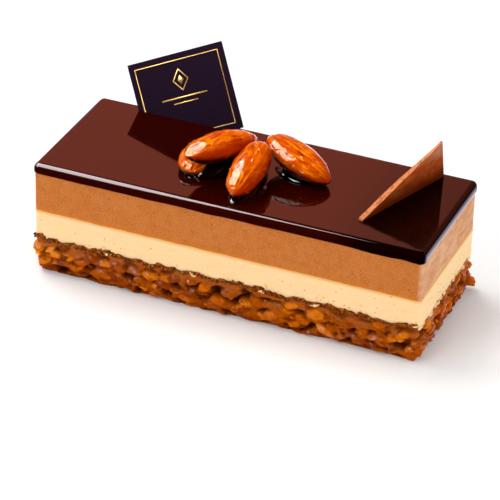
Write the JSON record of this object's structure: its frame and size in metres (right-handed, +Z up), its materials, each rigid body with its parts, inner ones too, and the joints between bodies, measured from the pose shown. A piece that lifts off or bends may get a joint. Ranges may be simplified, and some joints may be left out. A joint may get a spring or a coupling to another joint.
{
  "type": "slice of hazelnut mousse cake",
  "caption": "Bar-shaped slice of layered hazelnut mousse cake: craggy praline base, cream, mousse and chocolate glaze, topped with caramelised almonds, a chocolate shard and a plain card.",
  "frame": {"origin": "middle of the flat underside of the praline base", "axes": "+X along the bar's length, +Z up through the layers, -Y towards the front long side"},
  "size_m": [0.1217, 0.0524, 0.0604],
  "materials": {
    "praline": "crunchy nut praline with glossy caramel",
    "cream": "smooth pale cream",
    "mousse": "matte aerated hazelnut mousse",
    "glaze": "poured mirror chocolate glaze",
    "milk_chocolate": "tempered milk chocolate, satin",
    "caramelised_almond": "glossy caramel over almond skin",
    "card": "coated dark card with a gold line"
  },
  "bodies": {
    "root": {"praline_base": "praline", "cream_layer": "cream", "hazelnut_mousse": "mousse", "chocolate_glaze": "glaze", "chocolate_shard": "milk_chocolate", "label_card": "card", "almond_left": "caramelised_almond", "almond_under": "caramelised_almond", "almond_middle": "caramelised_almond", "almond_right": "caramelised_almond"}
  },
  "joints": []
}
